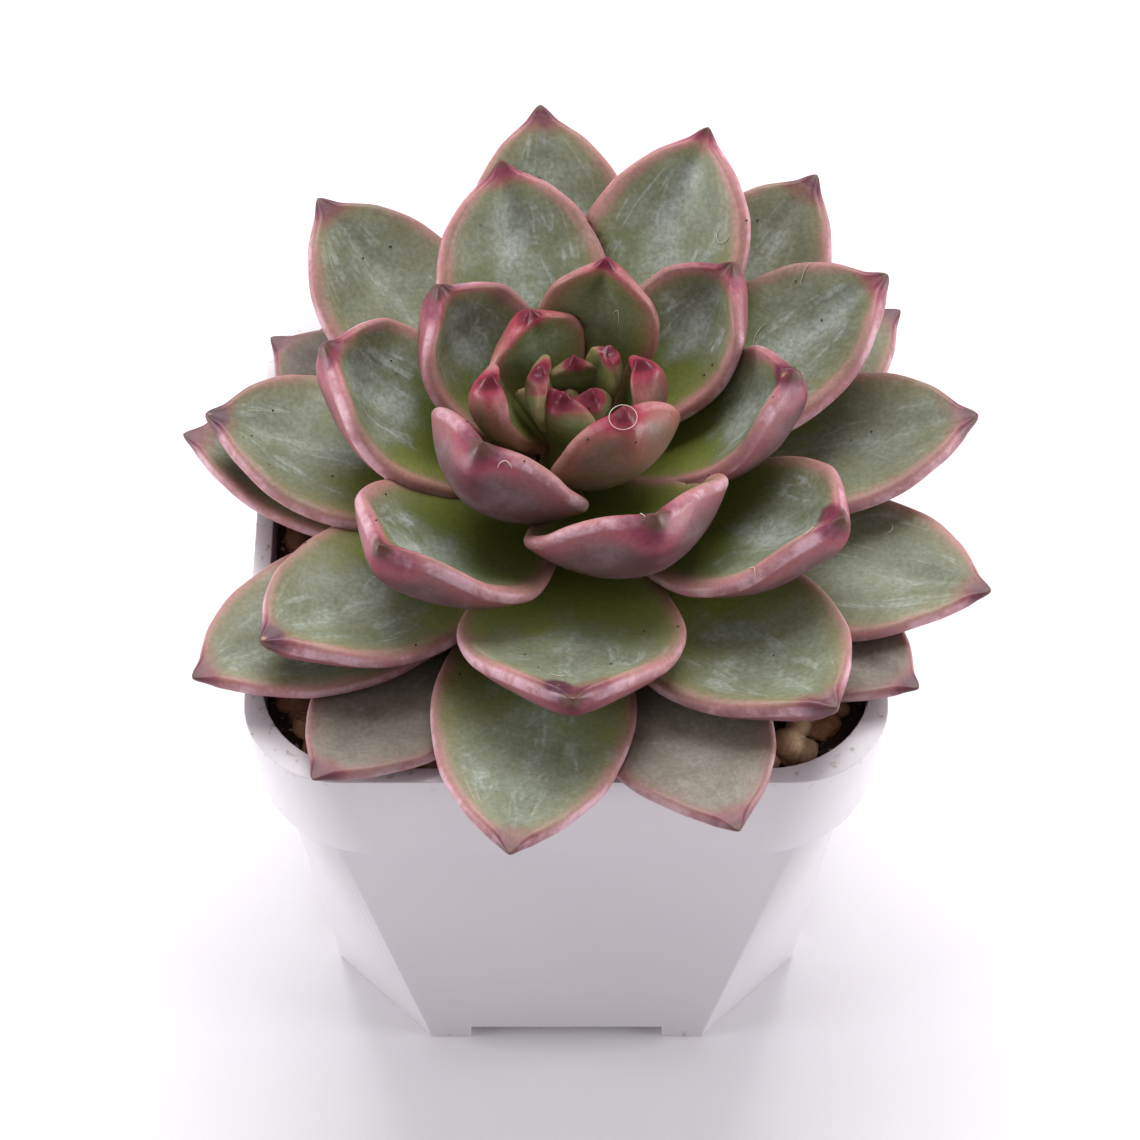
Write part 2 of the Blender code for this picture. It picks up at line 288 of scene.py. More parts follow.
def leafSkin(name, look):
    # the roughness gives the satin sheen, the bloom the dusty look, and the scattering the depth
    material, tree, shader = newMaterial(
        name,
        IOR=1.42,
        Subsurface_Weight=0.10,
        Subsurface_Radius=(0.9, 0.6, 0.35),
        Subsurface_Scale=1.4 * mm,
    )
    across, edge, tip, along, under, luck, scar = (
        addNode(tree, "ShaderNodeAttribute", attribute_name=key, out="Fac")
        for key in ("across", "edgeMm", "tipMm", "along", "under", "luck", "scarMm")
    )
    place = addNode(tree, "ShaderNodeTexCoord", out="Object")
    side = addNode(tree, "ShaderNodeMath", {"Value": across}, operation="ABSOLUTE")

    # broad patches, clouds in the wax, the blotches rubbed in it, and the skin's fine mottling
    # name, size in mm, detail, roughness and distortion
    noises = {}
    for key, size, detail, roughness, distortion in (
        ("patch", 9.0, 3.0, 0.5, 0.0),
        ("cloud", 4.0, 8.0, 0.62, 0.25),
        ("blotch", 5.0, 5.0, 0.6, 0.5),
        ("mottle", 0.55, 4.0, 0.6, 0.0),
    ):
        grain = {"Detail": detail, "Roughness": roughness, "Distortion": distortion}
        noises[key] = addNode(
            tree, "ShaderNodeTexNoise", {"Vector": place, "Scale": patternScale(size), **grain}
        )

    # ridges in the wax run along the leaf: a noise on the leaf's own length and width, near its middle value
    length = addNode(tree, "ShaderNodeMath", {"Value": along, "Value_001": 1.5}, operation="MULTIPLY")
    width = addNode(tree, "ShaderNodeMath", {"Value": across, "Value_001": 1.7}, operation="MULTIPLY")
    leafNumber = addNode(tree, "ShaderNodeMath", {"Value": luck, "Value_001": 40.0}, operation="MULTIPLY")
    blade = addNode(tree, "ShaderNodeCombineXYZ", {"X": length, "Y": width, "Z": leafNumber})
    ridge = addNode(
        tree,
        "ShaderNodeTexNoise",
        {"Vector": blade, "Scale": 1.3, "Detail": 5.0, "Roughness": 0.5, "Distortion": 0.5},
    )
    ridge = addNode(tree, "ShaderNodeMath", {"Value": ridge, "Value_001": 0.5}, operation="SUBTRACT")
    ridge = addNode(tree, "ShaderNodeMath", {"Value": ridge}, operation="ABSOLUTE")

    # the pale line on the fold along the middle, wax with a painted highlight of the fold, wanders off it
    midribWaxAndHighlight = addNode(
        tree,
        "ShaderNodeMath",
        {"Value": noises["blotch"], "Value_001": 0.5, "Value_002": -0.25},
        operation="MULTIPLY_ADD",
    )
    midribWaxAndHighlight = addNode(tree, "ShaderNodeMath", {"Value": midribWaxAndHighlight, "Value_001": across}, operation="ADD")
    midribWaxAndHighlight = addNode(tree, "ShaderNodeMath", {"Value": midribWaxAndHighlight}, operation="ABSOLUTE")

    # places on the leaf, each pushed about by the noise
    # name, what pushes it, how far, and where it starts
    places = {}
    for key, source, factor, start in (
        ("wavyEdge", noises["patch"], 2.2, edge),
        ("foot", noises["blotch"], 0.45, along),
        ("kite", side, -0.20, along),
        ("tip", noises["blotch"], 4.0, tip),
        ("scarRing", noises["cloud"], 1.6, scar),
    ):
        pushed = {"Value": source, "Value_001": factor, "Value_002": start}
        places[key] = addNode(tree, "ShaderNodeMath", pushed, operation="MULTIPLY_ADD")
    places["kite"] = addNode(
        tree,
        "ShaderNodeMath",
        {"Value": noises["blotch"], "Value_001": 0.34, "Value_002": places["kite"]},
        operation="MULTIPLY_ADD",
    )

    # how much of each layer there is: its source, the source's range and the share at both ends of it
    shares = {}
    for key, source, low, high, atLow, atHigh in (
        ("foot", places["foot"], 0.50, 0.98, 1.0, 0.0),
        ("warm", places["wavyEdge"], 1.0, look["marginWidth"] + 4.2, 0.62, 0.0),
        ("margin", places["wavyEdge"], 0.9, look["marginWidth"] + 1.6, 0.80, 0.0),
        ("underEdge", places["wavyEdge"], 1.2, look["marginWidth"] + 2.4, 0.85, 0.0),
        # the crest: a painted highlight in a thin line along the rounded margin, broken into patches
        ("paintedHighlightLine", edge, 0.05, 0.45, 0.65, 0.0),
        ("paintedHighlightPatches", noises["cloud"], 0.42, 0.60, 0.2, 1.0),
        ("tip", places["tip"], 2.5, look["tipLength"] + 3.6, 0.9, 0.0),
        ("purple", places["tip"], 2.3, look["tipLength"] * 0.5 + 3.3, 0.85, 0.0),
        ("mucro", tip, 0.35, 0.8, 1.0, 0.0),
        ("kite", places["kite"], 0.56, 0.74, 0.0, 1.0),
        ("bare", tip, 1.0, 5.0, 0.0, 1.0),
        ("cloud", noises["cloud"], 0.30, 0.66, 0.35, 1.0),
        # along the middle fold: a thin line and a broader band of wax, both also a painted highlight of the
        # fold
        ("midribWaxAndHighlight", midribWaxAndHighlight, 0.01, 0.06, 0.55, 0.0),
        ("core", midribWaxAndHighlight, 0.03, 0.36, look["coreWaxAndHighlight"], 0.0),
        ("ridge", ridge, 0.0, 0.040, 0.7, 0.0),
        ("ridgePlace", noises["blotch"], 0.42, 0.56, 0.0, 1.0),
        ("dust", noises["mottle"], 0.35, 0.65, 0.7, 1.0),
        ("keel", side, 0.10, 0.60, 1.0, 0.0),
        ("keelEnd", places["tip"], 3.0, 10.0, 0.9, 0.0),
        ("underCloud", noises["cloud"], 0.42, 0.70, 0.0, 0.7),
        ("scarRim", places["scarRing"], 1.9, 2.9, 0.85, 0.0),
        ("scarDry", places["scarRing"], 0.85, 1.2, 0.9, 0.0),
    ):
        ends = {"From Min": low, "From Max": high, "To Min": atLow, "To Max": atHigh}
        shares[key] = addNode(
            tree, "ShaderNodeMapRange", {"Value": source, **ends}, interpolation_type="SMOOTHSTEP"
        )
    for key, first, second, operation in (
        ("kite", "kite", "bare", "MULTIPLY"),
        ("kite", "kite", "dust", "MULTIPLY"),
        ("wax", "cloud", "kite", "MULTIPLY"),
        ("web", "ridge", "ridgePlace", "MULTIPLY"),
        ("web", "web", "midribWaxAndHighlight", "MAXIMUM"),
        ("web", "web", "core", "MAXIMUM"),
        ("web", "web", "cloud", "MULTIPLY"),
        ("web", "web", "kite", "MULTIPLY"),
        ("paintedMarginHighlight", "paintedHighlightLine", "paintedHighlightPatches", "MULTIPLY"),
        ("keel", "keel", "keelEnd", "MULTIPLY"),
    ):
        pair = {"Value": shares[first], "Value_001": shares[second]}
        shares[key] = addNode(tree, "ShaderNodeMath", pair, operation=operation)
    for key in ("wax", "web"):
        left = {"Value": shares[key], "Value_001": look["bloomAmount"]}
        shares[key] = addNode(tree, "ShaderNodeMath", left, operation="MULTIPLY")

    # each face is its own colour with the layers laid over it, and the two meet along the rounded margin
    faces = {}
    for face, base, layers in (
        ("upper", "blade", ("foot foot", "wax bloom", "web web", "warm warm", "margin margin")),
        ("lower", "under", ("foot underFoot", "underCloud underBloom", "underEdge underEdge", "keel keel")),
    ):
        faces[face] = linear(look[base])
        for layer in layers:
            share, colour = layer.split()
            laid = {"Factor": shares[share], "A": faces[face], "B": linear(look[colour])}
            faces[face] = addNode(tree, "ShaderNodeMix", laid, data_type="RGBA")
    both = {"Factor": under, "A": faces["upper"], "B": faces["lower"]}
    skin = addNode(tree, "ShaderNodeMix", both, data_type="RGBA")
    # over both faces: the tip's colours, a painted highlight along the margin, and the dry scars
    for share, colour in (
        ("tip", "tip"),
        ("paintedMarginHighlight", "paintedMarginHighlight"),
        ("purple", "purple"),
        ("mucro", "mucro"),
        ("scarRim", "purple"),
        ("scarDry", "scar"),
    ):
        laid = {"Factor": shares[share], "A": skin, "B": linear(look[colour])}
        skin = addNode(tree, "ShaderNodeMix", laid, data_type="RGBA")
    shade = addNode(
        tree,
        "ShaderNodeMapRange",
        {"Value": noises["mottle"], "From Min": 0.25, "From Max": 0.75, "To Min": 0.84, "To Max": 1.14},
    )
    leafShade = addNode(tree, "ShaderNodeMapRange", {"Value": luck, "To Min": 0.93, "To Max": 1.07})
    shade = addNode(tree, "ShaderNodeMath", {"Value": shade, "Value_001": leafShade}, operation="MULTIPLY")
    skin = addNode(tree, "ShaderNodeHueSaturation", {"Color": skin, "Value": shade})
    tree.links.new(skin, shader.inputs["Base Color"])

    rough = addNode(
        tree,
        "ShaderNodeMath",
        {"Value": shares["wax"], "Value_001": 0.2, "Value_002": look["roughness"]},
        operation="MULTIPLY_ADD",
    )
    tree.links.new(rough, shader.inputs["Roughness"])
    soft = addNode(
        tree, "ShaderNodeBump", {"Height": noises["blotch"], "Strength": 0.5, "Distance": 0.3 * mm}
    )
    fine = addNode(
        tree,
        "ShaderNodeBump",
        {"Height": noises["mottle"], "Strength": 0.5, "Distance": 0.06 * mm, "Normal": soft},
    )
    tree.links.new(fine, shader.inputs["Normal"])
    return material


# leaves

leafShape = {
    "ringSteps": 56,
    "lengthSteps": 60,
    "widest": 0.58,  # share of the length where the blade is widest, and its back deepest
    "backPoint": 0.62,  # where the CAD leaf's back has its corners, as a share of half the width
    "footLift": 0.13,  # the spine starts this far over the foot's middle, of the thickness
    "roundness": 2.2,  # how full the back is: 2 is a parabola
    "marginAngle": 26.0,  # degrees of the ring that the rounded margin takes
    "sway": 0.5,  # mm that the spine may bend to either side
    "roll": 4.0,  # degrees that the blade may twist
    "wave": 0.22,  # mm that a margin wanders
    "foldWidth": 0.22,  # the fold along the middle, of half the width
    "foldDepth": 0.7,  # mm
    "nose": 0.20,  # the swelling over the tip, of the thickness
    "mucro": 0.7,  # mm, the point at the tip
    "lumps": 0.16,  # mm
    "lumpSize": 7.0,  # mm
    "footEnd": 0.02,  # shares of the length where the two ends begin to close
    "tipEnd": 0.995,
}
# share of the length, and the half width and thickness there; the first half width is the whorl's neck
leafStations = (
    (0.00, None, 0.45),
    (0.16, 0.58, 0.60),
    (0.36, 0.86, 0.85),
    (0.58, 1.00, 1.00),
    (0.78, 0.835, 0.93),
    (0.90, 0.52, 0.86),
    (0.955, 0.27, 0.66),
    (0.985, 0.10, 0.34),
    (1.00, 0.012, 0.08),
)
# thickness and margin radius in mm, how hollow the face is, and the foot's width; plump widens a leaf
whorls = {
    "oldest": {"leaves": 6, "thick": 3.2, "cup": 0.06, "neck": 0.24, "edge": 0.80, "look": "aged"},
    "outer": {"leaves": 6, "thick": 3.6, "cup": 0.08, "neck": 0.25, "edge": 0.90, "look": "green"},
    "lower": {"leaves": 8, "thick": 5.0, "cup": 0.12, "neck": 0.28, "edge": 1.05, "look": "green"},
    "middle": {"leaves": 6, "thick": 5.3, "cup": 0.20, "neck": 0.29, "edge": 1.00, "look": "dewy"},
    "inner": {"leaves": 5, "thick": 5.2, "cup": 0.27, "neck": 0.30, "edge": 0.85, "look": "dewy"},
    "heart": {"leaves": 5, "thick": 4.2, "cup": 0.10, "neck": 0.40, "edge": 0.80, "look": "young"},
    "bud": {"leaves": 5, "thick": 3.0, "cup": -0.10, "neck": 0.30, "edge": 0.60, "look": "bud", "plump": 1.4},
}
# a dry scar on a few leaves: its share of the length, and its place across, in half widths
scars = {
    "lower_leaf_01": (0.955, -0.12),
    "middle_leaf_01": (0.93, 0.05),
    "inner_leaf_02": (0.965, 0.0),
    "lower_leaf_07": (0.992, 0.0),
    "lower_leaf_08": (0.992, 0.0),
}
noScar = 99.0  # mm, farther than any scar reaches


def readLeaf(name, whorl):
    # finds a CAD leaf's spine and half width from its back, which no other leaf presses on
    bm = mergedCopy(name)
    points = [vert.co.copy() for vert in bm.verts]
    bm.free()
    # the tip is the end far from the heart of the rosette, and the foot is the other end
    heart = Vector((stemCentre.x, stemCentre.y, rimHeight + 5 * mm))
    tip = max(points, key=lambda p: (p - heart).length)
    tipRing = [p for p in points if (p - tip).length < mm]
    tip = sum(tipRing, Vector()) / len(tipRing)
    out = Vector((tip.x - stemCentre.x, tip.y - stemCentre.y, 0)).normalized()
    side = Vector((-out.y, out.x, 0))
    far = max((p - tip).length for p in points)
    footRing = [p for p in points if (p - tip).length > 0.93 * far]
    foot = sum(footRing, Vector()) / len(footRing)
    thick = whorl["thick"] * mm
    chord = tip - foot
    up = chord.cross(side).normalized()
    foot += up * thick * leafShape["footLift"]
    # the ring of points level with the deepest one gives the width
    deepest = min(points, key=lambda p: (p - foot).dot(up))
    level = [p for p in points if abs((p - deepest).dot(chord.normalized())) < 0.03 * far]
    level = [p for p in level if (p - deepest).dot(up) < 0.75 * thick]
    half = max(abs((p - deepest).dot(side)) for p in level) / leafShape["backPoint"] * whorl.get("plump", 1.0)
    # the spine's control point makes it pass over the deepest point at the widest place
    spine = deepest + up * thick
    share = leafShape["widest"]
    control = (spine - (1 - share) ** 2 * foot - share**2 * tip) / (2 * share * (1 - share))
    control -= side * (control - (foot + tip) / 2).dot(side)
    return {"foot": foot, "control": control, "tip": tip, "side": side, "half": half}


def sectionPoint(turn, half, depth, cup, edge):
    # one point of the blade's section: across it, over it, 0 on the upper face to 1 on the lower one, and the
    # distance in from the margin. turn runs round the section from the right margin over the upper face.
    across, over = math.cos(turn), math.sin(turn)
    hand = 1.0 if across >= 0 else -1.0
    lift = math.degrees(math.atan2(over, abs(across)))
    wedge = leafShape["marginAngle"]
    edge = min(edge, 0.45 * depth, 0.4 * half)  # a thin or narrow section has a smaller margin
    core = half - edge
    share = min(1.0, (90 - abs(lift)) / (90 - wedge))
    slopeTop = 2 * cup * share
    fall = (depth - 2 * edge) / core * leafShape["roundness"] * share ** (leafShape["roundness"] - 1)
    topAngle = math.pi / 2 + math.atan(slopeTop)
    bottomAngle = -math.pi / 2 + math.atan(slopeTop + fall)
    height = cup * core * share**2 - edge
    if lift >= wedge:
        normal, under = topAngle, 0.0
    elif lift <= -wedge:
        normal, under = bottomAngle, 1.0
        height -= (depth - 2 * edge) * (1 - share ** leafShape["roundness"])
    else:
        blend = (lift + wedge) / (2 * wedge)
        normal, under = bottomAngle + (topAngle - bottomAngle) * blend, 1 - blend
    x = core * share + edge * math.cos(normal)
    y = height + edge * math.sin(normal)
    return hand * x, y, under, core * (1 - share) + edge * (1 - abs(math.cos(normal)))


def growLeaf(name, whorl, seed):
    # a fine leaf: a ball with its poles at the foot and the tip, drawn out along the spine
    leaf = readLeaf(name, whorl)
    foot, control, tip, side = (leaf[key] for key in ("foot", "control", "tip", "side"))
    luck = random.Random(seed)
    sway = luck.uniform(-1, 1) * leafShape["sway"] * mm
    roll = math.radians(luck.uniform(-1, 1) * leafShape["roll"])
    offset = Vector((seed * 3.7, seed * 1.3, seed * 2.1))
    stations = [(0.0, whorl["neck"], leafStations[0][2]), *leafStations[1:]]
    length = (tip - foot).length
    footEnd, tipEnd = leafShape["footEnd"], leafShape["tipEnd"]
    bm = bmesh.new()
    bmesh.ops.create_uvsphere(
        bm, u_segments=leafShape["ringSteps"], v_segments=leafShape["lengthSteps"], radius=1.0
    )
    keys = ("across", "edgeMm", "tipMm", "along", "under", "luck", "scarMm")
    layers = {key: bm.verts.layers.float.new(key) for key in keys}
    scarShare, scarAcross = scars.get(name, (0.0, 0.0))
    for vert in bm.verts:
        turn = math.atan2(vert.co.y, vert.co.x)
        level = math.acos(min(1.0, max(-1.0, vert.co.z))) / math.pi
        share = math.sin(level * math.pi / 2)
        close = math.sqrt(max(0.0, 1 - ((footEnd - min(share, footEnd)) / footEnd) ** 2))
        close *= math.sqrt(max(0.0, 1 - ((max(share, tipEnd) - tipEnd) / (1 - tipEnd)) ** 2))
        half = leaf["half"] * curveAt(stations, share, 1)
        depth = whorl["thick"] * mm * curveAt(stations, share, 2)
        x, y, under, inward = sectionPoint(turn, half, depth, whorl["cup"], whorl["edge"] * mm)
        # a shallow fold along the middle of the upper face and a keel under it, both towards the tip
        middle = math.exp(-((x / max(half, 1e-6)) / leafShape["foldWidth"]) ** 2)
        middle *= smoothStep(share, 0.5, 0.9)
        fold = min(leafShape["foldDepth"] * mm, 0.09 * leaf["half"]) * (1.0 if under < 0.5 else 0.6)
        y -= fold * middle * (1 - smoothStep(share, 0.84, 0.98))
        # the nose: the blade swells over the tip's level before it turns down to the point
        y += leafShape["nose"] * depth * smoothStep(share, 0.70, 0.93)
        wave = noise.noise(Vector((share * 3.1, 2.0 if x > 0 else 7.0, seed)))
        x *= 1 + wave * leafShape["wave"] * mm / max(half, mm) * 2
        # the section stands across the spine, twisted a little
        spine = (1 - share) ** 2 * foot + 2 * share * (1 - share) * control + share**2 * tip
        ahead = ((1 - share) * (control - foot) + share * (tip - control)).normalized()
        up = ahead.cross(side)
        twist = roll * math.sin(share * math.pi)
        sideways = side * math.cos(twist) + up * math.sin(twist)
        upwards = up * math.cos(twist) - side * math.sin(twist)
        spine += side * sway * math.sin(share * math.pi)
        spine += ahead * leafShape["mucro"] * mm * smoothStep(share, 0.965, 1.0)
        vert.co = spine + (sideways * x + upwards * y) * close
        lump = noise.noise(vert.co / (leafShape["lumpSize"] * mm) + offset)
        lump *= min(leafShape["lumps"] * mm, 0.03 * leaf["half"])
        vert.co += upwards * lump * smoothStep(share, 0.0, 0.2) * (1 - smoothStep(share, 0.9, 1.0))
        # what the skin's pattern follows
        scarGap = math.hypot(length * (share - scarShare), x - scarAcross * leaf["half"]) / mm
        follows = {
            "across": max(-1.0, min(1.0, x / max(half, mm))),
            "edgeMm": inward / mm,
            "tipMm": length * (1 - share) / mm,
            "along": share,
            "under": under,
            "luck": roll / math.radians(2 * leafShape["roll"]) + 0.5,
            "scarMm": scarGap if scarShare and under < 0.5 else noScar,
        }
        for key, value in follows.items():
            vert[layers[key]] = value
    bmesh.ops.recalc_face_normals(bm, faces=bm.faces)
    bm.normal_update()
    return leaf, bm


# mm between two skins, mm that one gives way at most, and how often its dent is smoothed
pressing = {"gap": 0.12, "reach": 5.0, "smoothings": 2}


def pressLeaf(older, olderUp, younger):
    # where a younger leaf lies in an older one, the older one's skin gives way downwards
    tree = BVHTree.FromBMesh(younger)
    low = Vector(min(v.co[i] for v in younger.verts) for i in range(3))
    high = Vector(max(v.co[i] for v in younger.verts) for i in range(3))
    gap = pressing["gap"] * mm
    moved = []
    for vert in older.verts:
        if any(not low[i] - gap < vert.co[i] < high[i] + gap for i in range(3)):
            continue
        place, normal = tree.find_nearest(vert.co)[:2]
        if (vert.co - place).dot(normal) >= gap:
            continue
        below = tree.ray_cast(vert.co + olderUp * gap, -olderUp, pressing["reach"] * mm)[0]
        if below is None:
            continue
        vert.co = below - olderUp * gap
        moved.append(vert)
    if moved:
        for _ in range(pressing["smoothings"]):
            relax(older, moved, 0.4)


print("leaves")
skins = {
    "aged": leafSkin("agedLeafSkin", agedSkin),
    "green": leafSkin("waxyLeafSkin", greenSkin),
    "dewy": leafSkin("dewyLeafSkin", dewySkin),
    "young": leafSkin("youngLeafSkin", youngSkin),
    "bud": leafSkin("budLeafSkin", budSkin),
}
grown = []
for whorlName, whorl in whorls.items():
    for number in range(1, whorl["leaves"] + 1):
        nodeName = f"{whorlName}_leaf_{number:02d}"
        leaf, bm = growLeaf(nodeName, whorl, len(grown) + 1)
        grown.append((nodeName, whorl, leaf, bm))

print("leaves pressed together")
for i in range(len(grown) - 2, -1, -1):
    _, whorl, leaf, older = grown[i]
    if whorl["look"] == "bud":
        continue  # the youngest leaves are firm and don't give way
    up = (leaf["tip"] - leaf["foot"]).cross(leaf["side"]).normalized()
    for _, _, _, younger in grown[i + 1 :]:
        pressLeaf(older, up, younger)

leafTrees = [BVHTree.FromBMesh(bm) for _, _, _, bm in grown]
for nodeName, whorl, leaf, bm in grown:
    addPiece(nodeName + "_fine", bm, skins[whorl["look"]], [nodeName])


# pot

# in mm
potShape = {
    "colours": ("#D5D0D4", "#D0CBD0"),
    "dust": "#8C7358",
    "band": 15.5,  # from the rim's top down to the foot of its band
    "wall": 1.6,
    "lip": 2.1,
    "lipCorner": 3.0,  # the rim is wider at its corners: its inner edge has this much less straight
    "rimTop": (37.5, 26.0),  # half the side, and half of its straight part
    "rimFoot": (36.9, 22.0),
    "bodyTop": (33.2, 28.1),
    "bodyFoot": (29.9, 17.5),
    "cornerPoints": 13,
    "floor": (3.0, 4.6),  # its underside and its top
    "notch": (24.8, 2.6),  # the gap between two feet: its width and height
    "drain": (1.8, 12.0),  # radius and pitch
    "softEdge": 0.5,  # the mould's own rounding
}


def mouldedPlastic():
    # injection-moulded white polypropylene: semi-gloss, lets a little light in, and soil dust clings to it
    material, tree, shader = newMaterial(
        "mouldedWhitePolypropylene",
        IOR=1.49,
        Subsurface_Weight=0.10,
        Subsurface_Radius=(1.0, 1.0, 1.0),
        Subsurface_Scale=1.5 * mm,
    )
    place = addNode(tree, "ShaderNodeTexCoord", out="Object")
    height = addNode(tree, "ShaderNodeSeparateXYZ", {"Vector": place}, out="Z")
    haze = addNode(tree, "ShaderNodeTexNoise", {"Vector": place, "Scale": patternScale(26), "Detail": 1.0})
    specks = addNode(tree, "ShaderNodeTexNoise", {"Vector": place, "Scale": patternScale(1.1), "Detail": 6.0})
    peel = addNode(tree, "ShaderNodeTexNoise", {"Vector": place, "Scale": patternScale(1.8), "Detail": 1.0})
    light, dull = (linear(colour) for colour in potShape["colours"])
    plastic = addNode(tree, "ShaderNodeMix", {"Factor": haze, "A": light, "B": dull}, data_type="RGBA")
    # dust on the rim, and a stain round the feet
    rimStart = rimHeight - 2 * mm
    onRim = addNode(
        tree, "ShaderNodeMapRange", {"Value": height, "From Min": rimStart, "From Max": rimHeight}
    )
    onFeet = addNode(
        tree, "ShaderNodeMapRange", {"Value": height, "From Max": 3.5 * mm, "To Min": 1.0, "To Max": 0.0}
    )
    dirty = addNode(tree, "ShaderNodeMath", {"Value": onRim, "Value_001": onFeet}, operation="MAXIMUM")
    dust = addNode(
        tree, "ShaderNodeMapRange", {"Value": specks, "From Min": 0.60, "From Max": 0.72, "To Max": 0.65}
    )
    dust = addNode(tree, "ShaderNodeMath", {"Value": dust, "Value_001": dirty}, operation="MULTIPLY")
    plastic = addNode(
        tree, "ShaderNodeMix", {"Factor": dust, "A": plastic, "B": linear(potShape["dust"])}, data_type="RGBA"
    )
    finishSurface(tree, shader, plastic, (haze, 0.2, 0.8, 0.27, 0.36), (peel, 0.12, 0.04))
    return material


def potOutline(half, straight, z):
    # the pot's outline at a height, in mm: its corners are arcs at the rim and turn into chamfers at the feet
    corner = half - straight
    roundShare = min(1.0, z / (rimHeight / mm - potShape["band"]))
    points = []
    for quarter in range(4):
        turned = Matrix.Rotation(math.radians(90 * quarter), 3, "Z")
        for i in range(potShape["cornerPoints"]):
            share = i / (potShape["cornerPoints"] - 1)
            chamfer = Vector((half - corner * share, straight + corner * share, z))
            angle = math.radians(90 * share)
            arc = Vector((straight + corner * math.cos(angle), straight + corner * math.sin(angle), z))
            points.append(potCentre + (turned @ chamfer.lerp(arc, roundShare)) * mm)
    return points


def bodyOutline(z, inset=0.0):
    share = z / (rimHeight / mm - potShape["band"])
    (topHalf, topStraight), (footHalf, footStraight) = potShape["bodyTop"], potShape["bodyFoot"]
    half = footHalf + (topHalf - footHalf) * share - inset
    straight = footStraight + (topStraight - footStraight) * share - inset * math.tan(math.radians(22.5))
    return potOutline(half, straight, z)


print("pot")
top = rimHeight / mm
bandFoot = top - potShape["band"]
ledge = bandFoot + potShape["wall"]
rimHalf, rimStraight = potShape["rimTop"]
bandHalf, bandStraight = potShape["rimFoot"]
wall, lip = potShape["wall"], potShape["lip"]
bm = bmesh.new()
drawThrough(
    bm,
    [
        bodyOutline(potShape["floor"][0], wall),
        bodyOutline(0.0, wall),
        bodyOutline(0.0),
        bodyOutline(bandFoot),
        potOutline(bandHalf, bandStraight, bandFoot),
        potOutline(rimHalf, rimStraight, top),
        potOutline(rimHalf - lip, rimStraight - potShape["lipCorner"], top),
        potOutline(bandHalf - lip, bandStraight, ledge),
        bodyOutline(ledge, wall),
        bodyOutline(potShape["floor"][1], wall),
    ],
)
bmesh.ops.recalc_face_normals(bm, faces=bm.faces)
pot = addPiece("pot_shell", bm, mouldedPlastic(), ["pot"])
# two bars cut the gaps between the feet, and nine pins cut the drain holes
cutters = []
notchWide, notchHigh = (size * mm for size in potShape["notch"])
barLength = 0.2
for name, size in (("notchAcross", (barLength, notchWide)), ("notchAlong", (notchWide, barLength))):
    bm = bmesh.new()
    bmesh.ops.create_cube(bm, size=1.0)
    bmesh.ops.scale(bm, vec=(*size, 2 * notchHigh), verts=bm.verts)
    bmesh.ops.translate(bm, vec=potCentre, verts=bm.verts)
    cutters.append(newObject(name, bm))
bm = bmesh.new()
drainRadius, drainPitch = (size * mm for size in potShape["drain"])
for column in (-1, 0, 1):
    for row in (-1, 0, 1):
        bmesh.ops.create_cone(
            bm,
            cap_ends=True,
            segments=24,
            radius1=drainRadius,
            radius2=drainRadius,
            depth=12 * mm,
            matrix=Matrix.Translation(potCentre + Vector((column * drainPitch, row * drainPitch, 4 * mm))),
        )
cutters.append(newObject("drains", bm))
for cutter in cutters:
    boolean = pot.modifiers.new(cutter.name, "BOOLEAN")
    boolean.operation = "DIFFERENCE"
    boolean.solver = "EXACT"
    boolean.object = cutter
rounding = pot.modifiers.new("softEdges", "BEVEL")
rounding.width = potShape["softEdge"] * mm
rounding.segments = 3
rounding.limit_method = "ANGLE"
rounding.angle_limit = math.radians(28)
bakeModifiers(pot, cutters)
pot.data.shade_smooth()
pot.data.set_sharp_from_angle(angle=math.radians(50))


# soil

# in mm
soilShape = {
    "colours": ("#17120F", "#4A3A2C"),
    "perlite": "#CFC7BA",
    "grid": 110,  # squares along a side
    "cornerRadius": 12.9,
    "intoWall": 0.5,  # so that no gap shows round it
    "sink": 0.4,  # under the CAD soil's top
    "lumps": (0.9, 6.0),  # height and size
    "grit": (0.35, 1.4),
    "bank": (2.0, 28.0, 34.0),  # height, and where it starts and ends, out from the pot's middle
    "foot": 2.2,  # over the foot of the pot's band
}


def pottingMix():
    # damp peat and grit: near-black crumbs with brown fibres and a few white grains of perlite
    material, tree, shader = newMaterial("dampPottingMix")
    place = addNode(tree, "ShaderNodeTexCoord", out="Object")
    crumbs = addNode(tree, "ShaderNodeTexNoise", {"Vector": place, "Scale": patternScale(1.6), "Detail": 6.0})
    cell = {"Vector": place, "Scale": patternScale(0.45)}
    grains = addNode(tree, "ShaderNodeTexVoronoi", cell, out="Color")
    grain = addNode(tree, "ShaderNodeSeparateColor", {"Color": grains}, out="Red")
    damp, fibre = (linear(colour) for colour in soilShape["colours"])
    soil = addNode(tree, "ShaderNodeMix", {"Factor": crumbs, "A": damp, "B": fibre}, data_type="RGBA")
    pale = addNode(
        tree, "ShaderNodeMapRange", {"Value": grain, "From Min": 0.95, "From Max": 0.98, "To Max": 0.6}
    )
    soil = addNode(
        tree,
        "ShaderNodeMix",
        {"Factor": pale, "A": soil, "B": linear(soilShape["perlite"])},
        data_type="RGBA",
    )
    finishSurface(tree, shader, soil, (crumbs, 0.3, 0.7, 0.65, 0.98), (crumbs, 0.9, 0.6))
    return material


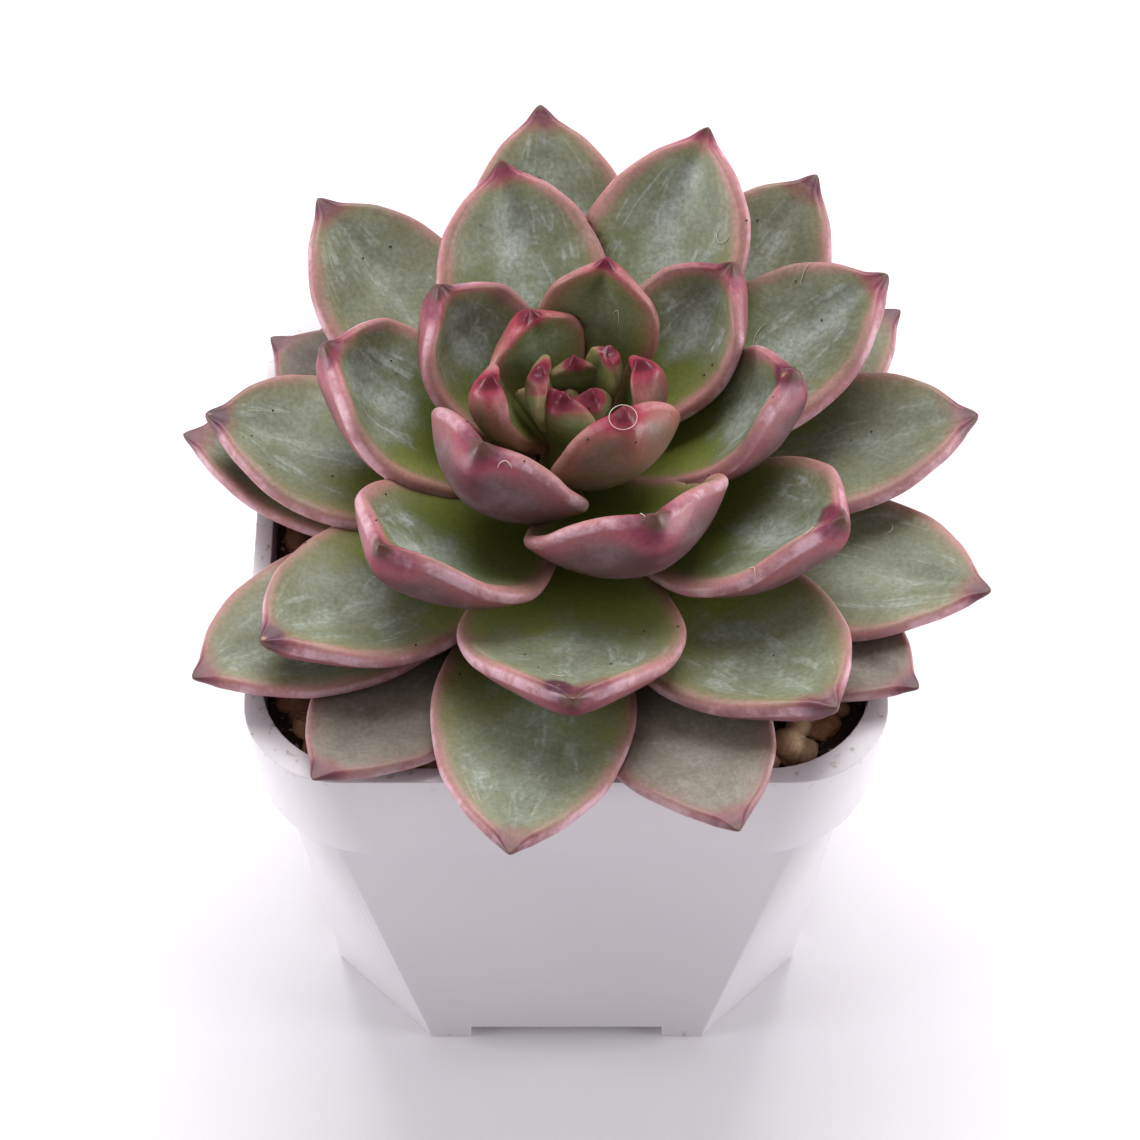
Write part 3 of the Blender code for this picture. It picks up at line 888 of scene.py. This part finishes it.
def soilHeight(x, y):
    # the uneven top of the soil, which watering has banked up against the walls
    lumpHeight, lumpSize = soilShape["lumps"]
    gritHeight, gritSize = soilShape["grit"]
    coarse = noise.fractal(Vector((x, y, 0)) / (lumpSize * mm), 1.0, 2.0, 3) * lumpHeight * mm
    fine = noise.fractal(Vector((x, y, 3)) / (gritSize * mm), 0.8, 2.0, 3) * gritHeight * mm
    dx, dy = x - potCentre.x, y - potCentre.y
    reach = max(abs(dx), abs(dy), 0.78 * math.hypot(dx, dy))  # how far out, in a square with round corners
    bankHeight, bankStart, bankEnd = (size * mm for size in soilShape["bank"])
    bank = bankHeight * smoothStep(reach, bankStart, bankEnd)
    return soilHigh.z - soilShape["sink"] * mm + coarse + fine + bank


print("soil")
half = (soilHigh.x - soilLow.x) / 2 + soilShape["intoWall"] * mm
corner = soilShape["cornerRadius"] * mm
straight = half - corner
bm = bmesh.new()
bmesh.ops.create_grid(bm, x_segments=soilShape["grid"], y_segments=soilShape["grid"], size=half)
for vert in bm.verts:
    # a square grid, its corners drawn in to the pot's round corners
    dx, dy = abs(vert.co.x) - straight, abs(vert.co.y) - straight
    if dx > 0 and dy > 0:
        pull = max(dx, dy) / math.hypot(dx, dy)
        vert.co.x = math.copysign(straight + dx * pull, vert.co.x)
        vert.co.y = math.copysign(straight + dy * pull, vert.co.y)
    vert.co += potCentre
    vert.co.z = soilHeight(vert.co.x, vert.co.y)
border = [edge for edge in bm.edges if edge.is_boundary]
skirt = bmesh.ops.extrude_edge_only(bm, edges=border)["geom"]
for item in skirt:
    if isinstance(item, bmesh.types.BMVert):
        item.co.z = rimHeight - potShape["band"] * mm + soilShape["foot"] * mm
lowEdges = [item for item in skirt if isinstance(item, bmesh.types.BMEdge) and item.is_boundary]
bmesh.ops.contextual_create(bm, geom=lowEdges)
bmesh.ops.recalc_face_normals(bm, faces=bm.faces)
mixMaterial = pottingMix()
addPiece("potting_mix", bm, mixMaterial, ["soil"])


# gravel and grit

# in mm
gravel = {
    "looks": {
        "tanRiverGravel": ("#CFA47A", "#9E7450"),
        "brownRiverGravel": ("#AE8260", "#7C563E"),
        "buffRiverGravel": ("#DCBE98", "#B48E68"),
    },
    "dent": 0.28,  # of a stone's radius
    "swell": 0.12,  # what smoothing takes off a pebble and this puts back
    "grain": 0.8,
    "loose": 34,  # loose stones of each look
    "looseSize": (2.2, 5.4),
    "looseReach": 33.0,  # from the pot's middle, so they lie in its corners
    "crumbs": 420,
    "crumbSize": (0.5, 1.7),
    "crumbReach": 27.0,
}


def wornStone(name, light, dark):
    # river gravel: matte worn stone with a fine grain and paler rubbed spots
    material, tree, shader = newMaterial(name, IOR=1.5)
    place = addNode(tree, "ShaderNodeTexCoord", out="Object")
    veins = addNode(tree, "ShaderNodeTexNoise", {"Vector": place, "Scale": patternScale(3.2), "Detail": 5.0})
    grain = addNode(tree, "ShaderNodeTexNoise", {"Vector": place, "Scale": patternScale(0.35), "Detail": 3.0})
    rubbed = addNode(tree, "ShaderNodeMapRange", {"Value": veins, "From Min": 0.35, "From Max": 0.65})
    stone = addNode(
        tree, "ShaderNodeMix", {"Factor": rubbed, "A": linear(dark), "B": linear(light)}, data_type="RGBA"
    )
    shade = addNode(
        tree,
        "ShaderNodeMapRange",
        {"Value": grain, "From Min": 0.3, "From Max": 0.7, "To Min": 0.78, "To Max": 1.18},
    )
    stone = addNode(tree, "ShaderNodeHueSaturation", {"Color": stone, "Value": shade})
    finishSurface(tree, shader, stone, (veins, 0.3, 0.7, 0.6, 0.9), (grain, 0.5, 0.1))
    return material


def addStone(bm, place, size, seed, finer=2):
    # one worn stone in a shared mesh: a ball, squashed, dented and turned
    luck = random.Random(seed)
    made = bmesh.ops.create_icosphere(bm, subdivisions=finer, radius=0.5)["verts"]
    shape = Vector((size, size * luck.uniform(0.65, 0.9), size * luck.uniform(0.5, 0.75)))
    turned = Matrix.Rotation(luck.uniform(0, math.tau), 3, "Z")
    turned = turned @ Matrix.Rotation(luck.uniform(-0.5, 0.5), 3, "X")
    for vert in made:
        dent = 1 + gravel["dent"] * noise.noise(vert.co * 2.3 + Vector((seed, 0, 0)))
        vert.co = place + turned @ Vector(c * s * dent for c, s in zip(vert.co, shape))


print("gravel")
stoneLooks = [wornStone(name, light, dark) for name, (light, dark) in gravel["looks"].items()]
for number in range(1, 13):
    nodeName = f"pebble_{number:02d}"
    bm = mergedCopy(nodeName)
    bmesh.ops.subdivide_edges(bm, edges=bm.edges, cuts=2, use_grid_fill=True, smooth=1.0)
    for _ in range(3):
        relax(bm, bm.verts, 0.5)
    bm.normal_update()
    for vert in bm.verts:
        grain = 1 + 2 * noise.noise(vert.co / (gravel["grain"] * mm))
        vert.co += vert.normal * gravel["swell"] * mm * grain
    bmesh.ops.recalc_face_normals(bm, faces=bm.faces)
    addPiece(f"gravel_stone_{number:02d}", bm, stoneLooks[number % 3], [nodeName])


def openSoil(luck, margin, nearest):
    # a random place on the soil, a margin in from the walls and no nearer to the middle than the leaves allow
    while True:
        x = luck.uniform(-1, 1) * (half - margin)
        y = luck.uniform(-1, 1) * (half - margin)
        dx, dy = abs(x) - straight, abs(y) - straight
        if dx > 0 and dy > 0 and math.hypot(dx, dy) > corner - margin:
            continue
        if math.hypot(x, y) > nearest:
            return potCentre + Vector((x, y, 0))


luck = random.Random(7)
for lookNumber, look in enumerate(stoneLooks):
    bm = bmesh.new()
    for i in range(gravel["loose"]):
        size = luck.uniform(*gravel["looseSize"]) * mm
        place = openSoil(luck, size / 2 - 0.2 * mm, gravel["looseReach"] * mm)
        place.z = soilHeight(place.x, place.y) + size * 0.16 + luck.uniform(0, 1.4) * mm
        addStone(bm, place, size, 100 * lookNumber + i)
    addPiece(f"loose_gravel_{lookNumber + 1}", bm, look)
bm = bmesh.new()
for i in range(gravel["crumbs"]):
    size = luck.uniform(*gravel["crumbSize"]) * mm
    place = openSoil(luck, size / 2, gravel["crumbReach"] * mm)
    place.z = soilHeight(place.x, place.y) + size * 0.1
    addStone(bm, place, size, 1000 + i, finer=1)
addPiece("soil_crumbs", bm, mixMaterial)


# hairs and specks on the leaves

# in mm
hairShape = {
    "colours": ("#E4DED6", "#B9A78E"),
    "thick": 0.10,
    "sides": 5,
    "steps": 16,
    "length": (1.5, 4.5),
    "lift": 0.16,  # over the leaf's skin
    "fall": 0.8,  # a hair that would drop more than this in one step is left out
    "scraps": 17,
    "reach": (9, 38),  # from the stem's middle
    "loop": (1.6, 1.4),  # half its width and half its height
    "loopSteps": 36,
    "specks": 90,
    "speckSize": (0.18, 0.45),
    "speckReach": (2, 40),
}


def paperyHair():
    # dry plant fibre and brush bristle: a pale matte thread, warmer in places
    material, tree, shader = newMaterial("dryFibre", Subsurface_Weight=0.2, Subsurface_Scale=0.2 * mm)
    place = addNode(tree, "ShaderNodeTexCoord", out="Object")
    tint = addNode(tree, "ShaderNodeTexNoise", {"Vector": place, "Scale": patternScale(1.5), "Detail": 3.0})
    pale, warm = (linear(colour) for colour in hairShape["colours"])
    hair = addNode(tree, "ShaderNodeMix", {"Factor": tint, "A": pale, "B": warm}, data_type="RGBA")
    finishSurface(tree, shader, hair, (tint, 0.3, 0.7, 0.5, 0.8))
    return material


def addHair(bm, path, closed=False):
    # a thread along the path, in a shared mesh, thinner towards its free ends
    rings = []
    for i, point in enumerate(path):
        before = path[i - 1] if i or closed else point
        after = path[(i + 1) % len(path)] if i < len(path) - 1 or closed else point
        ahead = (after - before).normalized()
        first = ahead.orthogonal().normalized() if not rings else first
        first = (first - ahead * first.dot(ahead)).normalized()
        second = ahead.cross(first)
        thin = 1.0 if closed else 0.35 + 0.65 * math.sin(math.pi * (i + 0.5) / len(path))
        radius = hairShape["thick"] / 2 * mm * thin
        ring = []
        for k in range(hairShape["sides"]):
            angle = math.tau * k / hairShape["sides"]
            ring.append(point + (first * math.cos(angle) + second * math.sin(angle)) * radius)
        rings.append(ring)
    drawThrough(bm, rings, joined=closed)


def topOfLeaves(x, y):
    # the highest leaf skin over a place
    best = None
    for tree in leafTrees:
        hit = tree.ray_cast(Vector((x, y, 0.2)), Vector((0, 0, -1)))[0]
        if hit and (best is None or hit.z > best.z):
            best = hit
    return best


print("hairs")
luck = random.Random(31)
bm = bmesh.new()
made = 0
while made < hairShape["scraps"]:
    angle, reach = luck.uniform(0, math.tau), luck.uniform(*hairShape["reach"]) * mm
    x, y = stemCentre.x + reach * math.cos(angle), stemCentre.y + reach * math.sin(angle)
    heading, bend = luck.uniform(0, math.tau), luck.uniform(-60, 60)
    stride = luck.uniform(*hairShape["length"]) * mm / hairShape["steps"]
    path = []
    for i in range(hairShape["steps"]):
        top = topOfLeaves(x, y)
        if top is None or path and abs(top.z - path[-1].z) > hairShape["fall"] * mm:
            break
        path.append(top + Vector((0, 0, hairShape["lift"] * mm)))
        heading += math.radians(bend / 4 + luck.uniform(-14, 14))
        x += stride * math.cos(heading)
        y += stride * math.sin(heading)
    if len(path) == hairShape["steps"]:
        addHair(bm, path)
        made += 1
# one fine hair is looped round the tip of a heart leaf, in a plane that faces up and forwards
tip = next(leaf["tip"] for nodeName, _, leaf, _ in grown if nodeName == "heart_leaf_02")
loopWide, loopHigh = hairShape["loop"]
loop = []
for i in range(hairShape["loopSteps"]):
    angle = math.tau * i / hairShape["loopSteps"]
    across = loopWide * math.cos(angle)
    rise = loopHigh * (math.sin(angle) - 0.5)
    loop.append(tip + Vector((across, 0.8 * rise - 0.45, 0.6 * rise + 0.4)) * mm)
addHair(bm, loop, closed=True)
bmesh.ops.recalc_face_normals(bm, faces=bm.faces)
addPiece("dry_hairs", bm, paperyHair())
# specks of soil that watering has splashed up
bm = bmesh.new()
for i in range(hairShape["specks"]):
    angle, reach = luck.uniform(0, math.tau), luck.uniform(*hairShape["speckReach"]) * mm
    top = topOfLeaves(stemCentre.x + reach * math.cos(angle), stemCentre.y + reach * math.sin(angle))
    if top:
        addStone(bm, top, luck.uniform(*hairShape["speckSize"]) * mm, 3000 + i, finer=1)
addPiece("splashed_crumbs", bm, mixMaterial)


# stem

stemShape = {"colours": ("#6D6A3C", "#9A8562"), "lump": (0.2, 2.0)}  # the lumps' height and size in mm


def fleshyStem():
    # a young stem: matte green-brown tissue with dry rings where leaves have dropped
    material, tree, shader = newMaterial("fleshyStem", IOR=1.4)
    place = addNode(tree, "ShaderNodeTexCoord", out="Object")
    rings = addNode(tree, "ShaderNodeTexNoise", {"Vector": place, "Scale": patternScale(2.5), "Detail": 5.0})
    fresh, dry = (linear(colour) for colour in stemShape["colours"])
    stem = addNode(tree, "ShaderNodeMix", {"Factor": rings, "A": fresh, "B": dry}, data_type="RGBA")
    finishSurface(tree, shader, stem, (rings, 0.3, 0.7, 0.55, 0.8), (rings, 0.6, 0.3))
    return material


print("stem")
bm = mergedCopy("stem")
bmesh.ops.subdivide_edges(bm, edges=bm.edges, cuts=2, use_grid_fill=True, smooth=1.0)
lumpHeight, lumpSize = stemShape["lump"]
for vert in bm.verts:
    vert.co += vert.normal * lumpHeight * mm * noise.noise(vert.co / (lumpSize * mm))
bmesh.ops.recalc_face_normals(bm, faces=bm.faces)
addPiece("stem_fine", bm, fleshyStem(), ["stem"])


# stage

print("stage")
stage = {"floor": ("#E9E6EA", "#E6E3E7"), "size": 6.0}  # metres
material, tree, shader = newMaterial("paleFloor", Roughness=0.75)
place = addNode(tree, "ShaderNodeTexCoord", out="Object")
cloud = addNode(tree, "ShaderNodeTexNoise", {"Vector": place, "Scale": patternScale(500), "Detail": 2.0})
pale, paler = (linear(colour) for colour in stage["floor"])
paper = addNode(tree, "ShaderNodeMix", {"Factor": cloud, "A": pale, "B": paler}, data_type="RGBA")
tree.links.new(paper, shader.inputs["Base Color"])
bm = bmesh.new()
bmesh.ops.create_grid(bm, x_segments=1, y_segments=1, size=stage["size"] / 2)
floor = newObject("floor", bm)
floor.data.materials.append(material)

studio = {
    "sky": ("#FBF8FC", 0.33),
    # name: place in metres, size, watts
    "lamps": {
        "overhead": ((0.00, 0.60, 1.00), 0.9, 15.0),
        "left": ((-0.85, -0.10, 0.22), 0.5, 6.5),
        "right": ((0.85, -0.10, 0.22), 0.5, 6.5),
    },
}
world = bpy.data.worlds.new("studioSky")
bpy.context.scene.world = world
world.use_nodes = True
sky = world.node_tree.nodes["Background"]
sky.inputs["Color"].default_value = linear(studio["sky"][0])
sky.inputs["Strength"].default_value = studio["sky"][1]
for name, (place, size, power) in studio["lamps"].items():
    light = bpy.data.lights.new(name, "AREA")
    light.size = size
    light.energy = power
    lamp = bpy.data.objects.new(name, light)
    lamp.location = place
    lamp.rotation_euler = (Vector((0, 0, 0.06)) - Vector(place)).to_track_quat("-Z", "Y").to_euler()
    bpy.context.scene.collection.objects.link(lamp)

# in mm from the pot's centre, and degrees under the horizontal
view = {"lens": 115.3, "sensor": 36.0, "place": (0.45, -278.5, 409.8), "down": 51.476}
cameraData = bpy.data.cameras.new("camera")
cameraData.lens = view["lens"]
cameraData.sensor_width = view["sensor"]
camera = bpy.data.objects.new("camera", cameraData)
camera.location = potCentre + Vector(view["place"]) * mm
camera.rotation_euler = (math.radians(90 - view["down"]), 0, 0)
bpy.context.scene.collection.objects.link(camera)
bpy.context.scene.camera = camera
bpy.context.scene.view_settings.view_transform = "Standard"

print("done")
